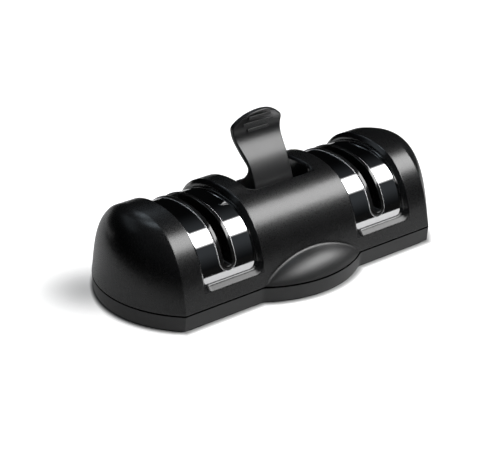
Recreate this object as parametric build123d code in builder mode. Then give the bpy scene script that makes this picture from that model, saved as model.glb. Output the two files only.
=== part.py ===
from build123d import *
import math
import os

# Outer form: a barrel with domed ends. X runs along it, front is -Y, the table is z = 0
half_width = 40.7
body_height = 53.4
crease_drift = 1.4
end_bulge = 17.7
end_shoulder = 16.4
end_arm = 22.5
side_arm = 18.2
side_lean = 3.6
top_arm = 34.0
wall = 2.6

# Thumb bulges in the middle of the front and rear
bulge_rise = 10.6
bulge_window_gap = 0.7
bulge_axis_inset = 3.5
bulge_axis_z = 7.3
bulge_blend = 2.0
bulge_corner = 4.0

# Base tray, its rubber gasket and the joint line above it
gasket_height = 0.9
gasket_inset = 1.2
gasket_width = 3.4
gasket_corner = 15.0
tray_taper = 0.8
tray_wall = 2.4
tray_flange = 6.0
tray_floor_z = 5.0
tray_floor = 2.0
seam_z = 9.3
seam_gap = 0.6
tongue_gap = 0.7
tongue_width = 1.2
tongue_rise = 2.0

# Window of a sharpening stage, between the lever pocket's web and the dome's shoulder
web_width = 13.3
window_width = 35.1
shoulder_width = 15.3
window_foot_z = 19.4
window_corner = 3.5
window_rim = 3.6
bevel_width = 2.2
bevel_depth = 2.0
cover_depth = 4.0
cover_sheet = 0.8
cover_lap = 1.0
rim_gap = 0.1

# Slot guide in each cover
slot_width = 5.6
slot_foot_rise = 5.8
guide_wall = 1.4
lip_width = 0.75
lip_rise = 0.7
lip_round = 0.35
guide_gap = 0.1
seat_gap = 0.03

# Wheels, axles and cradles
axle_radius = 1.5
axle_overhang = 1.6
axle_play = 0.05
axle_seat = 0.02
wheel_radius = 13.0
vee_radius = 8.0
vee_gap = 0.3
vee_mouth = 2.0
disc_width = 5.7
hub_radius = 4.0
hub_overhang = 2.6
side_play = 0.4
wheel_clearance = 1.0
cradle_sheet = 2.0
cradle_half_depth = 18.0
cradle_foot = 2.4
cradle_eye = 5.0
cradle_waist = 11.0
cradle_boss = 3.0
cradle_boss_height = 5.0
cradle_opening = 10.5
clip_radius = 3.0
clip_sheet = 0.6
clip_bite = 0.3
clip_mouth = 1.8
clip_play = 0.05

# Suction lever: a two-cam hub, a strap that leans back and a wide thumb pad
pivot_depth = 12.1
cam_radius = 9.0
cam_lift = 2.5
cam_travel = 80.0
cam_flat = 2.2
cam_steps = 8
cam_half_width = 13.2
cam_gap = 0.1
pin_radius = 2.0
pin_inset = 2.4
pin_play = 0.05
pin_seat = 0.02
eye_radius = 4.5
eye_side_gap = 0.5
eye_room_gap = 1.3
eye_back_rise = 4.2
lever_height = 44.9
lever_sheet = 3.1
lever_round = 0.8
pad_half_width = 16.8
pad_crown_radius = 22.0
pad_corner = 3.5
pad_shoulder = 1.0
pad_arm = 8.0
flare_rise = 14.7
flare_arm = 6.0
grip_height = 0.6
grip_half_thickness = 0.9
grip_round = 0.25

# Front face of the lever from the hub to the tip, as shares of its height over the pivot
strap_share = ((-0.185, 0.100), (-0.107, 0.290), (-0.009, 0.463), (0.107, 0.599), (0.165, 0.708))
pad_share = ((0.171, 0.752), (0.160, 0.836), (0.132, 0.922), (0.084, 1.0))
heel_share = ((0.256, 0.045), (0.225, 0.110), (0.130, 0.162), (0.045, 0.230), (-0.007, 0.352))
grip_share = ((0.169, 0.744, 0.163), (0.163, 0.829, 0.230), (0.136, 0.912, 0.170))

# Lever pocket in the crown
pocket_side_gap = 4.5
pocket_front_gap = 4.0
pocket_wall = 2.0
pocket_corner = 4.0
pocket_bevel = 1.2
cam_plate_sheet = 1.0
cam_plate_margin = 1.3
cam_plate_front = 9.5
cam_plate_rear = 8.5

# Pull stem, suction cup and washer
stem_width = 7.0
stem_gap = 0.3
sleeve_wall = 2.0
sleeve_foot_z = 16.0
flange_radius = 8.0
flange_z = 4.5
flange_height = 2.0
cup_margin = 2.7
cup_edge = 1.7
cup_lip_z = 0.25
cup_dome = 1.9
cup_shoulder = 4.5
cup_shoulder_z = 3.6
cup_boss_wall = 2.5
cup_boss_z = 9.0
cup_hole_gap = 1.5
cup_socket_gap = 0.1
press_ring_inset = 2.0
press_ring_wall = 2.0
press_ring_gap = 0.35
washer_inset = 0.5
washer_height = 1.0
washer_gap = 0.1

# Screws
screw_radius = 1.35
screw_gap = 0.03
screw_clearance = 0.2
screw_point = 1.0
head_radius = 2.6
head_height = 1.8
counterbore_radius = 2.9
counterbore_depth = 2.2
post_radius = 4.1
post_top_z = 12.0
post_gap = 0.1
housing_screw_length = 14.0
cradle_screw_length = 6.0
side_screw_x = 28.0
side_screw_inset = 9.7
end_screw_reach = 6.0
cradle_screw_x = 7.0
cradle_screw_inset = 4.0

overrun = 5.0
dome_level_share = (0, 0.2, 0.4, 0.55, 0.7, 0.8, 0.88, 0.94, 0.98)

# Sizes that follow from the ones above
pocket_half_width = pad_half_width + pocket_side_gap
pocket_front_y = -cam_radius - pocket_front_gap
window_near_x = pocket_half_width + web_width
window_far_x = window_near_x + window_width
stage_x = (window_near_x + window_far_x) / 2
crease_x = window_far_x + shoulder_width
tray_top_z = seam_z - seam_gap / 2
housing_foot_z = seam_z + seam_gap / 2
floor_top_z = tray_floor_z + tray_floor
slot_foot_z = window_foot_z + slot_foot_rise
axle_z = floor_top_z + wheel_clearance + wheel_radius
pivot_z = body_height - pivot_depth
seat_z = pivot_z - cam_radius - cam_gap
pocket_floor_z = seat_z - cam_plate_sheet
tip_z = pivot_z + lever_height
disc_outer_x = vee_gap + disc_width
hub_half_length = disc_outer_x + hub_overhang
cradle_inner_x = hub_half_length + side_play
cradle_outer_x = cradle_inner_x + cradle_sheet
axle_half_length = cradle_outer_x + axle_overhang
channel_width = slot_width + 2 * guide_wall
lip_outer_width = channel_width + 2 * lip_width
cam_rate = cam_lift / math.radians(cam_travel)
eye_half_width = stem_width / 2
eye_room = eye_radius + eye_room_gap
bulge_front = half_width + bulge_rise
bulge_half_chord = window_near_x - bulge_window_gap
bulge_axis_y = half_width - bulge_axis_inset
bulge_radius = (bulge_half_chord**2 + bulge_rise**2) / (2 * bulge_rise)
bulge_centre_y = bulge_front - bulge_radius
cup_radius = half_width - cup_margin
cup_boss_radius = flange_radius + cup_boss_wall
cup_shoulder_radius = cup_boss_radius + cup_shoulder
cup_hole_radius = cup_boss_radius + cup_hole_gap
washer_radius = cup_boss_radius - washer_inset
press_ring_radius = cup_radius - press_ring_inset
press_ring_z = cup_lip_z + cup_edge + press_ring_gap
side_screw_y = half_width - side_screw_inset
end_screw_x = crease_x + end_screw_reach
cradle_screw_y = cradle_half_depth - cradle_screw_inset
stage_signs = {"coarse": -1, "fine": 1}
housing_screw_places = (
    (-side_screw_x, -side_screw_y),
    (side_screw_x, -side_screw_y),
    (-side_screw_x, side_screw_y),
    (side_screw_x, side_screw_y),
    (-end_screw_x, 0),
    (end_screw_x, 0),
)

os.makedirs("parts", exist_ok=True)


def save(part, name):
    """Label a finished piece and write its file."""
    part.label = name
    export_step(part, "parts/" + name + ".step")


def curve_at(share, start, first, second, end):
    """Value of a cubic curve with two inner control values."""
    rest = 1 - share
    return rest**3 * start + 3 * rest**2 * share * first + 3 * rest * share**2 * second + share**3 * end


def arch_arm(inset):
    """Length of the crown's control arm for the arch that lies inset below the surface."""
    crown_radius = 1.5 * top_arm**2 / (body_height - seam_z - side_arm)
    return top_arm * (1 - inset / crown_radius)


def arch_face(inset, x):
    """Cross-section of the barrel at x, inset below its surface."""
    side = half_width - inset
    crown = body_height - inset
    arm = arch_arm(inset)
    shoulder_z = seam_z + side_arm
    with BuildSketch(Plane.YZ.offset(x)) as profile:
        with BuildLine():
            Bezier((-side, seam_z), (-side + side_lean, shoulder_z), (-arm, crown), (0, crown))
            Bezier((0, crown), (arm, crown), (side - side_lean, shoulder_z), (side, seam_z))
            Line((side, seam_z), (-side, seam_z))
        make_face()
    return profile.sketch


def barrel_form(inset):
    """The straight barrel without its domes, inset below its surface."""
    with BuildPart() as form:
        extrude(arch_face(inset, -crease_x), amount=2 * crease_x)
    return form.part


def body_form(inset):
    """The barrel closed by its two domes, inset below its surface."""
    side = half_width - inset
    crown = body_height - inset
    with BuildPart() as envelope:
        for share in dome_level_share:
            half = curve_at(share, side, side - side_lean, arch_arm(inset), 0)
            height = curve_at(share, seam_z, seam_z + side_arm, crown, crown)
            dome = curve_at(share, end_bulge - inset, end_shoulder - inset, end_arm - inset, 0)
            radius = (half**2 + dome**2) / (2 * dome)
            crease = crease_x - crease_drift * (height - seam_z) / (crown - seam_z)
            with BuildSketch(Plane.XY.offset(height)):
                SlotCenterToCenter(2 * (crease + dome - radius), 2 * radius)
        loft()
        extrude(envelope.faces().sort_by(Axis.Z)[-1], amount=overrun)
    reach = crease_x + end_bulge + overrun
    with BuildPart() as form:
        extrude(arch_face(inset, -reach), amount=2 * reach)
        add(envelope.part, mode=Mode.INTERSECT)
    return form.part


def bulge_form(inset):
    """The front and rear thumb bulges, inset below their surface."""
    radius = bulge_radius - inset
    half = math.sqrt(radius**2 - (bulge_axis_y - bulge_centre_y) ** 2)
    with BuildPart() as form:
        for side in (-1, 1):
            chord_y = side * bulge_axis_y
            with BuildSketch(Plane.XY.offset(bulge_axis_z)):
                with BuildLine():
                    ThreePointArc((-half, chord_y), (0, side * (bulge_front - inset)), (half, chord_y))
                    Line((half, chord_y), (-half, chord_y))
                make_face()
            revolve(axis=Axis((0, chord_y, bulge_axis_z), (1, 0, 0)), revolution_arc=360)
    return form.part


def plan_face(inset, height, bulged=True, corner=0):
    """Outline of the base at one height, inset from its edge."""
    side = half_width - inset
    end = crease_x + end_bulge - inset
    half = math.sqrt((bulge_radius - inset) ** 2 - (side - bulge_centre_y) ** 2)
    with BuildSketch(Plane.XY.offset(height)) as outline:
        with BuildLine():
            for turn in (-1, 1):
                dome_start = (turn * crease_x, turn * side)
                ThreePointArc(dome_start, (turn * end, 0), (turn * crease_x, -turn * side))
                if bulged:
                    front = turn * (bulge_front - inset)
                    Line((-turn * crease_x, turn * side), (-turn * half, turn * side))
                    ThreePointArc((-turn * half, turn * side), (0, front), (turn * half, turn * side))
                    Line((turn * half, turn * side), (turn * crease_x, turn * side))
                else:
                    Line((-turn * crease_x, turn * side), (turn * crease_x, turn * side))
        make_face()
        if bulged:
            fillet(outline.vertices().filter_by(lambda v: abs(v.X) < crease_x / 2), bulge_corner + inset)
        if corner:
            fillet(outline.vertices().filter_by(lambda v: abs(v.X) > crease_x / 2), corner)
    return outline.sketch


def window_form(grow):
    """Upright prisms through both windows, wider by grow all round."""
    foot = window_foot_z - grow
    with BuildPart() as form:
        with BuildSketch(Plane.XZ):
            with Locations(*[(sign * stage_x, foot + body_height / 2) for sign in (-1, 1)]):
                RectangleRounded(window_width + 2 * grow, body_height, window_corner + grow)
        extrude(amount=half_width + overrun, both=True)
    return form.part


def slot_form(x, width, foot):
    """Upright prism with a round foot that a blade's slot has, open at the top."""
    with BuildPart() as form:
        with BuildSketch(Plane.XZ):
            with Locations((x, foot + body_height / 2)):
                SlotOverall(body_height, width, rotation=90)
        extrude(amount=half_width + overrun, both=True)
    return form.part


def screw_at(x, y, head_z, length):
    """Pan-head screw driven upwards from below, with its head's underside at head_z."""
    with BuildPart() as screw:
        with BuildSketch(Plane.XZ):
            with BuildLine():
                Polyline(
                    (0, -head_height),
                    (head_radius / 2, -head_height),
                    (head_radius, -head_height / 3),
                    (head_radius, 0),
                    (screw_radius, 0),
                    (screw_radius, length - screw_point),
                    (0, length),
                    close=True,
                )
            make_face()
        revolve(axis=Axis.Z)
    return screw.part.moved(Location((x, y, head_z)))


def window_edges(part):
    """Outer edges of the two windows."""
    chosen = []
    for edge in part.edges():
        box = edge.bounding_box()
        ends = sorted((abs(box.min.X), abs(box.max.X)))
        inside = window_near_x - seat_gap < ends[0] and ends[1] < window_far_x + seat_gap
        if inside and box.min.Z > window_foot_z - seat_gap:
            chosen.append(edge)
    return chosen


# Upper housing: one shell with two windows, a lever pocket and screw bosses
with BuildPart() as lever_pocket:
    with BuildSketch(Plane.XY.offset(pocket_floor_z)) as pocket_plan:
        with Locations((0, pocket_front_y)):
            Rectangle(2 * pocket_half_width, 2 * half_width, align=(Align.CENTER, Align.MIN))
        fillet(pocket_plan.vertices().group_by(Axis.Y)[0], pocket_corner)
    extrude(amount=body_height)

with BuildPart() as pocket_casing:
    with BuildSketch(Plane.XY.offset(pocket_floor_z - pocket_wall)) as casing_plan:
        with Locations((0, pocket_front_y - pocket_wall)):
            casing_width = 2 * (pocket_half_width + pocket_wall)
            Rectangle(casing_width, 2 * half_width, align=(Align.CENTER, Align.MIN))
        fillet(casing_plan.vertices().group_by(Axis.Y)[0], pocket_corner + pocket_wall)
    extrude(amount=body_height)

with BuildPart() as window_rims:
    add(window_form(window_rim))
    add(barrel_form(cover_depth - rim_gap), mode=Mode.SUBTRACT)

with BuildPart() as housing_hollow:
    add(body_form(wall))
    add(bulge_form(wall))
    add(window_rims.part, mode=Mode.SUBTRACT)
    add(pocket_casing.part, mode=Mode.SUBTRACT)
    with BuildSketch(Plane.XY.offset(post_top_z + post_gap)):
        with Locations(*housing_screw_places):
            Circle(post_radius)
    extrude(amount=body_height, mode=Mode.SUBTRACT)
    with BuildSketch(Plane.XY.offset(sleeve_foot_z)):
        Rectangle(stem_width + 2 * (stem_gap + sleeve_wall), stem_width + 2 * (stem_gap + sleeve_wall))
    extrude(amount=pocket_floor_z - sleeve_foot_z, mode=Mode.SUBTRACT)

with BuildPart() as upper_housing:
    add(body_form(0))
    add(bulge_form(0))
    split(bisect_by=Plane.XY.offset(housing_foot_z), keep=Keep.TOP)
    seams = upper_housing.edges().filter_by(lambda e: abs(e.center().X) < bulge_half_chord)
    seams = seams.filter_by(lambda e: bulge_axis_y - wall < abs(e.center().Y) < half_width + wall)
    fillet(seams.filter_by(lambda e: e.center().Z > housing_foot_z + wall / 2), bulge_blend)
    add(window_form(0), mode=Mode.SUBTRACT)
    chamfer(window_edges(upper_housing), bevel_depth, bevel_width)
    add(lever_pocket.part, mode=Mode.SUBTRACT)
    brim = upper_housing.edges().filter_by(lambda e: abs(e.center().X) < pocket_half_width + seat_gap)
    brim = brim.filter_by(lambda e: e.bounding_box().min.Z > pocket_floor_z - seat_gap)
    brim = brim.filter_by(lambda e: e.bounding_box().max.Z > pocket_floor_z + pocket_wall)
    brim = brim.filter_by(lambda e: e.bounding_box().size.X + e.bounding_box().size.Y > pocket_wall)
    chamfer(brim, pocket_bevel)
    add(housing_hollow.part, mode=Mode.SUBTRACT)
    with BuildSketch(Plane.XY.offset(sleeve_foot_z)):
        Rectangle(stem_width + 2 * stem_gap, stem_width + 2 * stem_gap)
    extrude(amount=seat_z - sleeve_foot_z, mode=Mode.SUBTRACT)
    with BuildSketch(Plane.XY.offset(post_top_z)):
        with Locations(*housing_screw_places):
            Circle(screw_radius + screw_gap)
    extrude(amount=housing_screw_length, mode=Mode.SUBTRACT)
save(upper_housing.part, "upper_housing")

# Base tray: tapered band, floor, press ring over the cup, posts and the tongue inside the housing
cradle_screw_places = [
    (sign * stage_x + x * cradle_screw_x, y * cradle_screw_y)
    for sign in stage_signs.values()
    for x in (-1, 1)
    for y in (-1, 1)
]
with BuildPart() as base_tray:
    add(plan_face(tray_taper, gasket_height))
    add(plan_face(0, tray_top_z))
    loft(ruled=True)
    extrude(plan_face(tray_flange, gasket_height), amount=tray_floor_z - gasket_height, mode=Mode.SUBTRACT)
    extrude(plan_face(tray_wall, floor_top_z), amount=tray_top_z - floor_top_z, mode=Mode.SUBTRACT)
    tongue_inset = wall + tongue_gap
    extrude(plan_face(tongue_inset, floor_top_z, bulged=False), amount=seam_z + tongue_rise - floor_top_z)
    inner = plan_face(tongue_inset + tongue_width, floor_top_z, bulged=False)
    extrude(inner, amount=seam_z + tongue_rise - floor_top_z, mode=Mode.SUBTRACT)
    with BuildSketch(Plane.XY.offset(tray_floor_z)):
        with Locations(*housing_screw_places):
            Circle(post_radius)
    extrude(amount=post_top_z - tray_floor_z)
    with BuildSketch(Plane.XY.offset(tray_floor_z)):
        Circle(press_ring_radius)
        Circle(press_ring_radius - press_ring_wall, mode=Mode.SUBTRACT)
    extrude(amount=press_ring_z - tray_floor_z)
    with Locations(Plane.XY.offset(floor_top_z)):
        Hole(cup_hole_radius, depth=tray_floor)
    with Locations(*[Plane((x, y, tray_floor_z), z_dir=(0, 0, -1)) for x, y in housing_screw_places]):
        CounterBoreHole(
            screw_radius + screw_clearance, counterbore_radius, counterbore_depth, post_top_z - tray_floor_z
        )
    with Locations(*[Plane((x, y, tray_floor_z), z_dir=(0, 0, -1)) for x, y in cradle_screw_places]):
        Hole(screw_radius + screw_clearance, depth=tray_floor)
save(base_tray.part, "base_tray")

# Rubber gasket that the sharpener stands on
with BuildPart() as base_gasket:
    extrude(plan_face(gasket_inset, 0, corner=gasket_corner), amount=gasket_height)
    inner = plan_face(gasket_inset + gasket_width, 0, corner=gasket_corner - gasket_width)
    extrude(inner, amount=gasket_height, mode=Mode.SUBTRACT)
save(base_gasket.part, "base_gasket")

# The two sharpening stages
for stage, sign in stage_signs.items():
    x = sign * stage_x

    with BuildPart() as drum_cover:
        add(barrel_form(cover_depth))
        add(barrel_form(cover_depth + cover_sheet), mode=Mode.SUBTRACT)
        with BuildSketch(Plane.XZ):
            with Locations((x, window_foot_z - window_rim + cover_lap + body_height / 2)):
                Rectangle(window_width + 2 * cover_lap, body_height)
        extrude(amount=half_width + overrun, both=True, mode=Mode.INTERSECT)
        slot_cut = slot_form(x, channel_width + 2 * guide_gap, slot_foot_z - guide_wall - guide_gap)
        add(slot_cut, mode=Mode.SUBTRACT)
    save(drum_cover.part, stage + "_drum_cover")

    with BuildPart() as guide_channel:
        add(slot_form(x, channel_width, slot_foot_z - guide_wall))
        add(barrel_form(cover_depth - seat_gap), mode=Mode.INTERSECT)

    with BuildPart() as slot_guide:
        add(slot_form(x, lip_outer_width, slot_foot_z - guide_wall - lip_width))
        add(barrel_form(cover_depth - lip_rise), mode=Mode.INTERSECT)
        add(barrel_form(cover_depth - seat_gap), mode=Mode.SUBTRACT)
        add(guide_channel.part)
        add(slot_form(x, slot_width, slot_foot_z), mode=Mode.SUBTRACT)
        fillet(slot_guide.faces().sort_by(Axis.Z)[-1].edges(), lip_round)
        with BuildSketch(Plane.YZ.offset(x)):
            with Locations((0, axle_z)):
                Circle(wheel_radius + wheel_clearance)
        extrude(amount=channel_width, both=True, mode=Mode.SUBTRACT)
    save(slot_guide.part, stage + "_slot_guide")

    with BuildPart() as cradle:
        with BuildSketch(Plane.XY.offset(floor_top_z)):
            with Locations((x, 0)):
                Rectangle(2 * cradle_outer_x, 2 * cradle_half_depth)
                Rectangle(2 * (disc_outer_x + wheel_clearance), 2 * cradle_opening, mode=Mode.SUBTRACT)
        extrude(amount=cradle_foot)
        for cheek in (-1, 1):
            with BuildSketch(Plane.YZ.offset(x + cheek * cradle_inner_x)):
                with Locations((0, axle_z)):
                    Circle(cradle_eye)
                with Locations((0, floor_top_z + cradle_foot / 2)):
                    Rectangle(2 * cradle_waist, cradle_foot)
                make_hull()
                with Locations((0, axle_z)):
                    Circle(axle_radius + axle_seat, mode=Mode.SUBTRACT)
            extrude(amount=cheek * cradle_sheet)
        with BuildSketch(Plane.XY.offset(floor_top_z)):
            with Locations((x, 0)):
                with GridLocations(2 * cradle_screw_x, 2 * cradle_screw_y, 2, 2):
                    Circle(cradle_boss)
        extrude(amount=cradle_boss_height)
        with BuildSketch(Plane.XY.offset(floor_top_z)):
            with Locations((x, 0)):
                with GridLocations(2 * cradle_screw_x, 2 * cradle_screw_y, 2, 2):
                    Circle(screw_radius + screw_gap)
        extrude(amount=cradle_screw_length - tray_floor + screw_gap, mode=Mode.SUBTRACT)
    save(cradle.part, stage + "_cradle")

    groove_depth = clip_bite + clip_play
    with BuildPart() as axle:
        with BuildSketch(Plane.YZ.offset(x)):
            with Locations((0, axle_z)):
                Circle(axle_radius)
        extrude(amount=axle_half_length, both=True)
        chamfer(axle.edges().filter_by(GeomType.CIRCLE), groove_depth)
        for cheek in (-1, 1):
            with BuildSketch(Plane.YZ.offset(x + cheek * cradle_outer_x)):
                with Locations((0, axle_z)):
                    Circle(axle_radius)
                    Circle(axle_radius - groove_depth, mode=Mode.SUBTRACT)
            extrude(amount=cheek * (clip_sheet + 2 * clip_play), mode=Mode.SUBTRACT)
    save(axle.part, stage + "_axle")

    with BuildPart() as axle_clips:
        for cheek in (-1, 1):
            with BuildSketch(Plane.YZ.offset(x + cheek * (cradle_outer_x + clip_play))):
                with Locations((0, axle_z)):
                    Circle(clip_radius)
                    Circle(axle_radius - clip_bite, mode=Mode.SUBTRACT)
                with Locations((0, axle_z + clip_radius / 2)):
                    Rectangle(clip_mouth, clip_radius, mode=Mode.SUBTRACT)
            extrude(amount=cheek * clip_sheet)
    save(axle_clips.part, stage + "_axle_clips")

    with BuildPart() as wheel_hub:
        with BuildSketch(Plane.YZ.offset(x)):
            with Locations((0, axle_z)):
                Circle(hub_radius)
                Circle(axle_radius + axle_play, mode=Mode.SUBTRACT)
        extrude(amount=hub_half_length, both=True)
    save(wheel_hub.part, stage + "_wheel_hub")

    for cheek, place in ((-1, "left"), (1, "right")):
        with BuildPart() as wheel:
            with BuildSketch(Plane.XZ):
                with BuildLine():
                    Polyline(
                        (x + cheek * vee_gap, axle_z + hub_radius + axle_seat),
                        (x + cheek * vee_gap, axle_z + vee_radius),
                        (x + cheek * vee_mouth, axle_z + wheel_radius),
                        (x + cheek * disc_outer_x, axle_z + wheel_radius),
                        (x + cheek * disc_outer_x, axle_z + hub_radius + axle_seat),
                        close=True,
                    )
                make_face()
            revolve(axis=Axis((x, 0, axle_z), (1, 0, 0)))
        save(wheel.part, stage + "_wheel_" + place)

# Suction lever, seen from its side: hub, involute cams, strap and pad
cam_points = []
for step in range(cam_steps + 1):
    turn = math.radians(cam_travel) * step / cam_steps
    reach = cam_radius + cam_rate * turn
    cam_y = reach * math.sin(turn) + cam_rate * math.cos(turn)
    cam_z = -reach * math.cos(turn) + cam_rate * math.sin(turn)
    cam_points.append((cam_y, pivot_z + cam_z))
flat_turn = math.radians(cam_travel)
flat_end = (
    cam_points[-1][0] + cam_flat * math.cos(flat_turn),
    cam_points[-1][1] + cam_flat * math.sin(flat_turn),
)


def lever_points(shares):
    """Points of the lever's side view from shares of its height over the pivot."""
    return [(share_y * lever_height, pivot_z + share_z * lever_height) for share_y, share_z in shares]


strap_front = lever_points(strap_share)
pad_front = lever_points(pad_share)
heel_rear = lever_points(heel_share)
front_line = strap_front + pad_front
rear_line = []
for index in range(2, len(front_line)):
    before = front_line[index - 1]
    after = front_line[min(index + 1, len(front_line) - 1)]
    run = math.dist(before, after)
    rear_y = front_line[index][0] + lever_sheet * (after[1] - before[1]) / run
    rear_z = front_line[index][1] - lever_sheet * (after[0] - before[0]) / run
    rear_line.append((rear_y, rear_z))

hub_turn = math.atan2(strap_front[0][1] - pivot_z, strap_front[0][0])
hub_start = (cam_radius * math.cos(hub_turn), pivot_z + cam_radius * math.sin(hub_turn))
with BuildPart() as suction_lever:
    with BuildSketch(Plane.YZ.offset(-pad_half_width)):
        with BuildLine():
            ThreePointArc((0, pivot_z - cam_radius), (-cam_radius, pivot_z), hub_start)
            Spline(hub_start, *front_line[1:])
            Line(front_line[-1], rear_line[-1])
            Spline(*reversed(rear_line), *reversed(heel_rear))
            Line(heel_rear[0], flat_end)
            Line(flat_end, cam_points[-1])
            Spline(*reversed(cam_points))
            Line(cam_points[0], (0, pivot_z - cam_radius))
        make_face()
    extrude(amount=2 * pad_half_width)
    with BuildSketch(Plane.XZ.offset(-half_width)) as front_view:
        with BuildLine():
            crown_z = tip_z - pad_crown_radius + math.sqrt(pad_crown_radius**2 - pad_half_width**2)
            flare_z = pivot_z + flare_rise
            foot_z = pivot_z - 2 * cam_radius
            ThreePointArc((-pad_half_width, crown_z), (0, tip_z), (pad_half_width, crown_z))
            for side in (-1, 1):
                Bezier(
                    (side * pad_half_width, crown_z),
                    (side * (pad_half_width - pad_shoulder), crown_z - pad_arm),
                    (side * cam_half_width, flare_z + flare_arm),
                    (side * cam_half_width, flare_z),
                )
                Line((side * cam_half_width, flare_z), (side * cam_half_width, foot_z))
            Line((-cam_half_width, foot_z), (cam_half_width, foot_z))
        make_face()
        fillet(front_view.vertices().filter_by(lambda v: abs(v.Y - crown_z) < seat_gap), pad_corner)
    extrude(amount=2 * half_width, mode=Mode.INTERSECT)
    strap_edges = suction_lever.edges().filter_by(lambda e: e.bounding_box().min.Z > pivot_z + eye_radius)
    fillet(strap_edges.filter_by(lambda e: e.geom_type != GeomType.LINE), lever_round)
    eye_slot = eye_half_width + eye_side_gap
    with BuildSketch(Plane.YZ):
        with Locations((0, pivot_z)):
            Circle(eye_room)
            Rectangle(2 * cam_radius, 2 * cam_radius, align=(Align.MIN, Align.MAX))
            Rectangle(eye_room, 2 * cam_radius, align=(Align.MAX, Align.MAX))
            Rectangle(2 * cam_radius, eye_back_rise, align=(Align.MIN, Align.MIN))
    extrude(amount=eye_slot, both=True, mode=Mode.SUBTRACT)
    with BuildSketch(Plane.YZ):
        with Locations((0, pivot_z)):
            Circle(pin_radius + pin_seat)
    extrude(amount=cam_half_width, both=True, mode=Mode.SUBTRACT)
    for share_y, share_z, share_half in grip_share:
        with BuildSketch(Plane.XZ.offset(-share_y * lever_height - lever_sheet / 2)):
            with Locations((0, pivot_z + share_z * lever_height)):
                SlotOverall(2 * share_half * lever_height, 2 * grip_half_thickness)
        extrude(amount=lever_sheet / 2 + grip_height)
        grip_top = suction_lever.faces(Select.LAST).filter_by(Axis.Y).sort_by(Axis.Y)[0]
        fillet(grip_top.edges(), grip_round)
save(suction_lever.part, "suction_lever")

# Pin through the lever's hub and the stem's eye
with BuildPart() as lever_pin:
    with BuildSketch(Plane.YZ):
        with Locations((0, pivot_z)):
            Circle(pin_radius)
    extrude(amount=cam_half_width - pin_inset, both=True)
save(lever_pin.part, "lever_pin")

# Steel plate that the cams bear on
with BuildPart() as cam_plate:
    with BuildSketch(Plane.XY.offset(pocket_floor_z)):
        with Locations((0, (cam_plate_rear - cam_plate_front) / 2)):
            Rectangle(2 * (cam_half_width + cam_plate_margin), cam_plate_rear + cam_plate_front)
        Rectangle(stem_width + 2 * stem_gap, stem_width + 2 * stem_gap, mode=Mode.SUBTRACT)
    extrude(amount=cam_plate_sheet)
save(cam_plate.part, "cam_plate")

# Pull stem from the lever's pin down into the suction cup
with BuildPart() as pull_stem:
    with BuildSketch(Plane.XY.offset(flange_z + flange_height)):
        Rectangle(stem_width, stem_width)
    extrude(amount=pivot_z - flange_z - flange_height)
    with BuildSketch(Plane.YZ):
        with Locations((0, pivot_z)):
            Circle(eye_radius)
    extrude(amount=eye_half_width, both=True)
    with BuildSketch(Plane.XY.offset(flange_z)):
        Circle(flange_radius)
    extrude(amount=flange_height)
    with BuildSketch(Plane.YZ):
        with Locations((0, pivot_z)):
            Circle(pin_radius + pin_play)
    extrude(amount=stem_width, both=True, mode=Mode.SUBTRACT)
save(pull_stem.part, "pull_stem")

# Suction cup moulded round the stem's flange
with BuildPart() as suction_cup:
    with BuildSketch(Plane.XZ):
        with BuildLine():
            Line((0, cup_dome), (cup_shoulder_radius / 2, cup_dome))
            Line((cup_shoulder_radius / 2, cup_dome), (cup_radius, cup_lip_z))
            Line((cup_radius, cup_lip_z), (cup_radius, cup_lip_z + cup_edge / 2))
            Line((cup_radius, cup_lip_z + cup_edge / 2), (press_ring_radius, cup_lip_z + cup_edge))
            Line((press_ring_radius, cup_lip_z + cup_edge), (cup_shoulder_radius, cup_shoulder_z))
            Line((cup_shoulder_radius, cup_shoulder_z), (cup_boss_radius, cup_shoulder_z))
            Line((cup_boss_radius, cup_shoulder_z), (cup_boss_radius, cup_boss_z))
            Line((cup_boss_radius, cup_boss_z), (0, cup_boss_z))
            Line((0, cup_boss_z), (0, cup_dome))
        make_face()
    revolve(axis=Axis.Z)
    with BuildSketch(Plane.XY.offset(flange_z - cup_socket_gap)):
        Circle(flange_radius + cup_socket_gap)
    extrude(amount=flange_height + 2 * cup_socket_gap, mode=Mode.SUBTRACT)
    with BuildSketch(Plane.XY.offset(flange_z)):
        Rectangle(stem_width + 2 * cup_socket_gap, stem_width + 2 * cup_socket_gap)
    extrude(amount=cup_boss_z, mode=Mode.SUBTRACT)
save(suction_cup.part, "suction_cup")

# Washer on the stem over the cup's boss
with BuildPart() as cup_washer:
    with BuildSketch(Plane.XY.offset(cup_boss_z + washer_gap)):
        Circle(washer_radius)
        Rectangle(stem_width + 2 * cup_socket_gap, stem_width + 2 * cup_socket_gap, mode=Mode.SUBTRACT)
    extrude(amount=washer_height)
save(cup_washer.part, "cup_washer")

# Screws, all driven from below
with BuildPart() as housing_screws:
    for x, y in housing_screw_places:
        add(screw_at(x, y, tray_floor_z + counterbore_depth, housing_screw_length))
save(housing_screws.part, "housing_screws")

with BuildPart() as cradle_screws:
    for x, y in cradle_screw_places:
        add(screw_at(x, y, tray_floor_z, cradle_screw_length))
save(cradle_screws.part, "cradle_screws")
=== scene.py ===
"""Pull-through knife sharpener: a black domed barrel, two mirror-bright stages and a suction lever.

All lengths are in metres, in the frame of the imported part: X along the barrel, -Y the front, Z up.
"""

import logging
import math
from dataclasses import dataclass, field
from enum import Enum

import bmesh
import bpy
from mathutils import Matrix, Vector


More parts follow.
